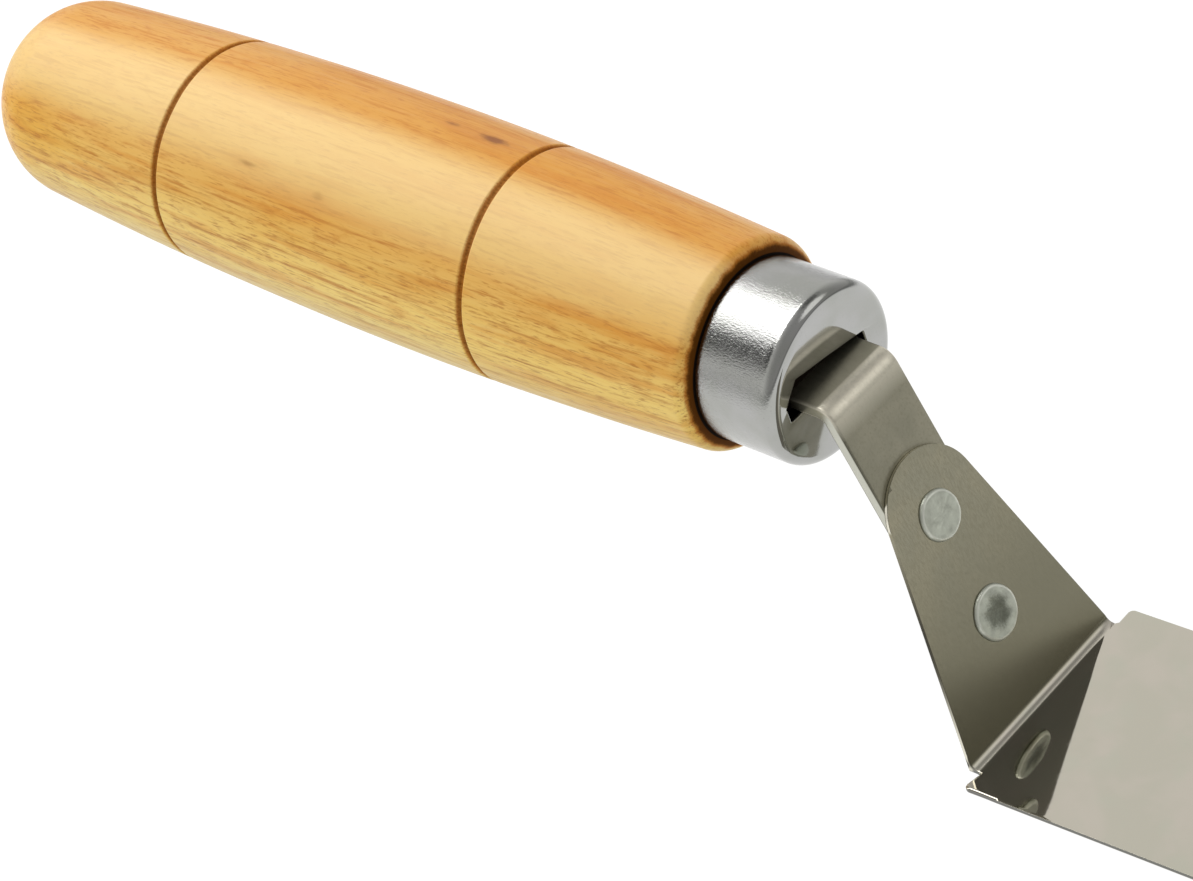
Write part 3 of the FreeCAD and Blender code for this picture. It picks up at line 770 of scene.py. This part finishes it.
def slot_edge(angle):
    """Where a ray from the slot's middle at that angle meets the slot's outline, and the ray."""
    ray = Vector((math.cos(angle), math.sin(angle)))
    reaches = []
    for index, corner in enumerate(FERRULE_SLOT):
        start = Vector(corner) - SLOT_MIDDLE
        step = Vector(FERRULE_SLOT[(index + 1) % len(FERRULE_SLOT)]) - SLOT_MIDDLE - start
        turn = ray.cross(step)
        if abs(turn) < 1e-9:
            continue
        reach = start.cross(step) / turn
        share = start.cross(ray) / turn
        if reach > 0 and -1e-6 <= share <= 1 + 1e-6:
            reaches.append(reach)
    return SLOT_MIDDLE + ray * min(reaches), ray


def make_ferrule(material):
    """A drawn cup: outer skin from the slot's lip to the open rim, then back inside it."""
    angles = around(360)
    slot = [slot_edge(angle) for angle in angles]
    edge_centre = (FERRULE_EDGE, FERRULE_RADIUS - FERRULE_EDGE)
    face_radius = edge_centre[1]
    bore = FERRULE_RADIUS - FERRULE_WALL

    def face_ring(along, share, spread_out=0.0):
        """A ring on the end wall, share of the way from the slot to the wall's rounded edge."""
        ring = []
        for angle, (spot, ray) in zip(angles, slot):
            rim = Vector((math.cos(angle), math.sin(angle))) * face_radius
            side, above = (spot + ray * spread_out).lerp(rim, share)
            dish = FERRULE_DISH * (1 - share) * smooth(0.5 + above / 5)
            ring.append(on_handle(along + dish, side, above))
        return ring

    def round_ring(along, radius):
        return [on_handle(along, radius * math.cos(t), radius * math.sin(t)) for t in angles]

    rings, wall = [], []

    def add(ring, on_wall=0.0):
        rings.append(ring)
        wall.extend([on_wall] * len(ring))

    for turn in (0, 30, 60, 90):
        bend = math.radians(turn)
        along = SLOT_LIP * (1 - math.sin(bend))
        add(face_ring(along, 0, SLOT_LIP * (1 - math.cos(bend))))
    for step in range(1, 9):
        add(face_ring(0, step / 8, SLOT_LIP * (1 - step / 8)))
    for along, radius in arc_points(edge_centre, FERRULE_EDGE, -math.pi, -1.5 * math.pi, 14):
        add(round_ring(along, radius), smooth((radius - face_radius) / FERRULE_EDGE - 0.4))
    wall_end = FERRULE_LENGTH - 0.2
    for along in spread(FERRULE_EDGE, wall_end, 0.8) + [wall_end]:
        add(round_ring(along, FERRULE_RADIUS), 1.0)
    add(round_ring(FERRULE_LENGTH - 0.06, FERRULE_RADIUS - 0.06), 1.0)
    add(round_ring(FERRULE_LENGTH, FERRULE_RADIUS - 0.2), 1.0)
    add(round_ring(FERRULE_LENGTH, bore + 0.05), 1.0)
    for along in (FERRULE_LENGTH - 0.1, FERRULE_LENGTH / 2, FERRULE_EDGE):
        add(round_ring(along, bore))
    inner_edge = FERRULE_EDGE - FERRULE_WALL
    for along, radius in arc_points(edge_centre, inner_edge, -1.5 * math.pi, -math.pi, 6):
        add(round_ring(along, radius))
    for step in range(3, -1, -1):
        add(face_ring(FERRULE_WALL, step / 4))
    mesh, loops = turned_mesh(rings)
    bridge(mesh, loops[-1], loops[0])
    return finish_piece("ferrule_cup", mesh, material, "ferrule", {"wall": wall})


def meeting(first, first_radius, second, second_radius):
    """Where two circles meet, at the point that is nearer the butt."""
    apart = second - first
    share = (apart.length_squared + first_radius**2 - second_radius**2) / (2 * apart.length)
    rise = math.sqrt(first_radius**2 - share**2)
    unit = apart.normalized()
    points = [first + unit * share + Vector((-unit.y, unit.x)) * rise * way for way in (-1, 1)]
    return max(points, key=lambda point: point.x)


def handle_profile():
    """(along, radius) from the butt to the tenon's end."""
    dome = Vector((HANDLE_END - BUTT_DOME, 0))
    barrel_end = dome.x + math.sqrt(BUTT_DOME**2 - BUTT_RADIUS**2)
    barrel_start = FERRULE_LENGTH + SHOULDER_ROUNDING

    def barrel_radius(end, end_radius):
        """The radius of the arc that is level at the belly and passes through the end."""
        drop = BELLY_RADIUS - end_radius
        return ((end - BELLY_PLACE) ** 2 + drop**2) / (2 * drop)

    rear = barrel_radius(barrel_end, BUTT_RADIUS)
    front = barrel_radius(barrel_start, SHOULDER_RADIUS)
    rear_centre = Vector((BELLY_PLACE, BELLY_RADIUS - rear))
    turn_centre = meeting(rear_centre, rear - BUTT_ROUNDING, dome, BUTT_DOME - BUTT_ROUNDING)
    dome_turn = (turn_centre - dome).angle(Vector((1, 0)))
    rear_turn = (turn_centre - rear_centre).angle(Vector((1, 0)))
    points = [(HANDLE_END, 0.0)]
    points += arc_points(dome, BUTT_DOME, 0, dome_turn, 12)
    points += arc_points(turn_centre, BUTT_ROUNDING, dome_turn, rear_turn, 30)

    # rings 1 mm apart, and much closer together at the grooves
    places = spread(points[-1][0], barrel_start, 1.0)
    places = [p for p in places if all(abs(p - groove) > 1.6 for groove, _ in GROOVES)]
    for groove, _ in GROOVES:
        places += [groove + offset * 0.08 for offset in range(-19, 20)]
    for along in sorted(places, reverse=True):
        radius = rear if along > BELLY_PLACE else front
        drop = radius - math.sqrt(radius**2 - (along - BELLY_PLACE) ** 2)
        points.append((along, BELLY_RADIUS - drop))

    points.append((barrel_start, SHOULDER_RADIUS))
    shoulder = (barrel_start, SHOULDER_RADIUS - SHOULDER_ROUNDING)
    points += arc_points(shoulder, SHOULDER_ROUNDING, math.pi / 2, math.pi, 16)
    points += [
        (FERRULE_LENGTH, TENON_RADIUS), (TENON_START + TENON_CHAMFER, TENON_RADIUS),
        (TENON_START, TENON_RADIUS - TENON_CHAMFER), (TENON_START, 0.0),
    ]
    return points


def make_handle(material):
    """The turned wood: a barrel with two burnt grooves, a burnt shoulder and a domed butt."""
    rings, burns_and_shade = [], []
    shoulder_end = FERRULE_LENGTH + SHOULDER_ROUNDING
    for along, radius in handle_profile():
        ring = []
        for angle in around(240) if radius > 0.01 else [0.0]:
            # angle is measured from the top towards -Y
            spot = Vector((math.cos(angle), math.sin(angle), 0))
            back, shape, burn_and_shade = along, radius, 0.0
            for groove, lean in GROOVES:
                distance = along - groove
                wander = GROOVE_WANDER * noise.noise(spot * 3 + Vector((0, 0, groove)))
                near = math.exp(-((distance / GROOVE_LEAN_REACH) ** 2))
                back -= (lean * math.cos(angle - GROOVE_SIDE) + wander) * near
                inside = max(0.0, 1 - (distance / GROOVE_HALF_WIDTH) ** 2)
                shape -= GROOVE_DEPTH * inside**2
                burn_and_shade = max(burn_and_shade, GROOVE_BURN * smooth(1.5 - abs(distance) / 0.5))
            if along <= shoulder_end:
                edge = 0.2 * noise.noise(spot * 9 + Vector((7, 0, 0)))
                burn_and_shade = max(burn_and_shade, smooth((FERRULE_RADIUS + BURNT_RING - radius + edge) / 1.2))
            # painted shade: the wood inside the ferrule is painted nearly black
            if along <= FERRULE_LENGTH:
                burn_and_shade = TENON_SHADE
            elif radius > 0.01:
                place = Vector((along * 0.04, *(spot.xy * 1.5)))
                shape += WOOD_WAVE * noise.noise(place)
            ring.append(on_handle(back, -shape * math.sin(angle), shape * math.cos(angle)))
            burns_and_shade.append(burn_and_shade)
        rings.append(ring)
    mesh, _ = turned_mesh(rings)
    return finish_piece("handle_turned", mesh, material, "handle", {"burn_and_shade": burns_and_shade})


# ---------------------------------------------------------------- studio

OBJECT_CENTRE = Vector((-116.3, -17.0, 41.2))
CAMERA_AZIMUTH = math.radians(51.55)
CAMERA_ELEVATION = math.radians(37.23)
CAMERA_ROLL = math.radians(-18.14)
CAMERA_DISTANCE = 568.6
CAMERA_LENS = 128.1
CAMERA_SENSOR = 36
SOFTBOX_DISTANCE = 900
SOFTBOXES = {
    # direction from the object, length and width, radiance
    "overhead": ((-0.585, -0.03, 0.81), (680, 900), 2.35),
    "crown": ((-0.24, 0, 0.97), (760, 70), 5.0),
}
FLOOR_BELOW = 0.06
FLOOR_COLOUR = (0.12, 0.12, 0.12, 1.0)
# the floor's own glow, as far as FLOOR_BRIGHT from the object and beyond FLOOR_DIM from it
FLOOR_BRIGHT = 260.0
FLOOR_DIM = 620.0
FLOOR_GLOW = (0.94, 0.2)
ROOM_COLOUR = (1.0, 0.995, 0.985, 1.0)
ROOM_BEHIND = 0.9
ROOM_AHEAD = 0.4
ROOM_PATCHES = (
    # direction, degrees to its outer and inner edge, strength against the room around it
    ((-0.585, -0.54, 0.60), 21, 15, 0.17),
    ((0.12, 0.52, 0.85), 19, 12, 0.35),
    ((0.70, 0.50, 0.50), 20, 12, 3.3),
)


def link(name, data):
    """A new object of the scene that shows data."""
    item = bpy.data.objects.new(name, data)
    bpy.context.scene.collection.objects.link(item)
    return item


def make_camera():
    back = Vector((
        math.sin(CAMERA_AZIMUTH) * math.cos(CAMERA_ELEVATION),
        -math.cos(CAMERA_AZIMUTH) * math.cos(CAMERA_ELEVATION),
        math.sin(CAMERA_ELEVATION),
    ))
    right = Vector((0, 0, 1)).cross(back).normalized()
    axes = Matrix((right, back.cross(right), back)).transposed()
    turn = axes @ Matrix.Rotation(CAMERA_ROLL, 3, "Z")
    data = bpy.data.cameras.new("camera")
    data.lens = CAMERA_LENS
    data.sensor_width = CAMERA_SENSOR
    data.clip_start = 0.01
    data.clip_end = 50
    camera = link("camera", data)
    place = (OBJECT_CENTRE + back * CAMERA_DISTANCE) * MM
    camera.matrix_world = Matrix.Translation(place) @ turn.to_4x4()
    bpy.context.scene.camera = camera


def make_softbox(name, direction, size, radiance):
    """A rectangular light that faces the object. direction points from the object to it."""
    data = bpy.data.lights.new(name, "AREA")
    data.shape = "RECTANGLE"
    data.size, data.size_y = [side * MM for side in size]
    data.energy = radiance * math.pi * data.size * data.size_y
    light = link(name, data)
    away = Vector(direction).normalized()
    light.location = (OBJECT_CENTRE + away * SOFTBOX_DISTANCE) * MM
    light.rotation_euler = away.to_track_quat("Z", "Y").to_euler()


def make_world():
    """Soft room light, brighter behind the handle, with one lighter patch and two darker ones."""
    world = bpy.data.worlds.new("studio")
    bpy.context.scene.world = world
    shader = Shader(world)
    way = shader.node("ShaderNodeTexCoord", output="Generated")
    forward = shader.node("ShaderNodeSeparateXYZ", {"Vector": way}, output="X")
    level = shader.ramp(forward, -0.7, 0.6, ROOM_BEHIND, ROOM_AHEAD)
    for direction, outer, inner, strength in ROOM_PATCHES:
        middle = tuple(Vector(direction).normalized())
        toward = shader.node(
            "ShaderNodeVectorMath", {0: way, 1: middle}, output="Value", operation="DOT_PRODUCT")
        edges = [math.cos(math.radians(degrees)) for degrees in (outer, inner)]
        patch = shader.ramp(toward, *edges, 1.0, strength)
        level = shader.math("MULTIPLY", level, patch)
    shader.feed(shader.tree.nodes["Background"], {"Color": ROOM_COLOUR, "Strength": level})


def make_floor():
    """A pale, evenly lit floor whose light falls away well outside the picture."""
    mesh = bmesh.new()
    bmesh.ops.create_grid(mesh, x_segments=8, y_segments=8, size=6)
    data = bpy.data.meshes.new("floor")
    mesh.to_mesh(data)
    mesh.free()
    floor = link("floor", data)
    floor.location.z = -FLOOR_BELOW * MM
    shader = new_shader("pale_floor")
    from_object = tuple(OBJECT_CENTRE * -1)
    away = shader.node(
        "ShaderNodeVectorMath", {0: shader.place(), 1: from_object}, operation="ADD")
    reach = shader.node("ShaderNodeVectorMath", {0: away}, output="Value", operation="LENGTH")
    data.materials.append(shader.surface({
        "Base Color": FLOOR_COLOUR, "Roughness": 0.9, "Specular IOR Level": 0.0,
        "Emission Color": (1.0, 1.0, 1.0, 1.0),
        "Emission Strength": shader.ramp(reach, FLOOR_BRIGHT, FLOOR_DIM, *FLOOR_GLOW),
    }))


make_blade(blade_material())
make_tang(tang_material())
make_ferrule(ferrule_material())
make_handle(wood_material())
rivet_steel = rivet_material()
for rivet_name in RIVETS:
    make_rivet(rivet_name, rivet_steel)
make_camera()
make_world()
make_floor()
for softbox, (direction, size, radiance) in SOFTBOXES.items():
    make_softbox(softbox, direction, size, radiance)
bpy.context.scene.view_settings.view_transform = "Standard"
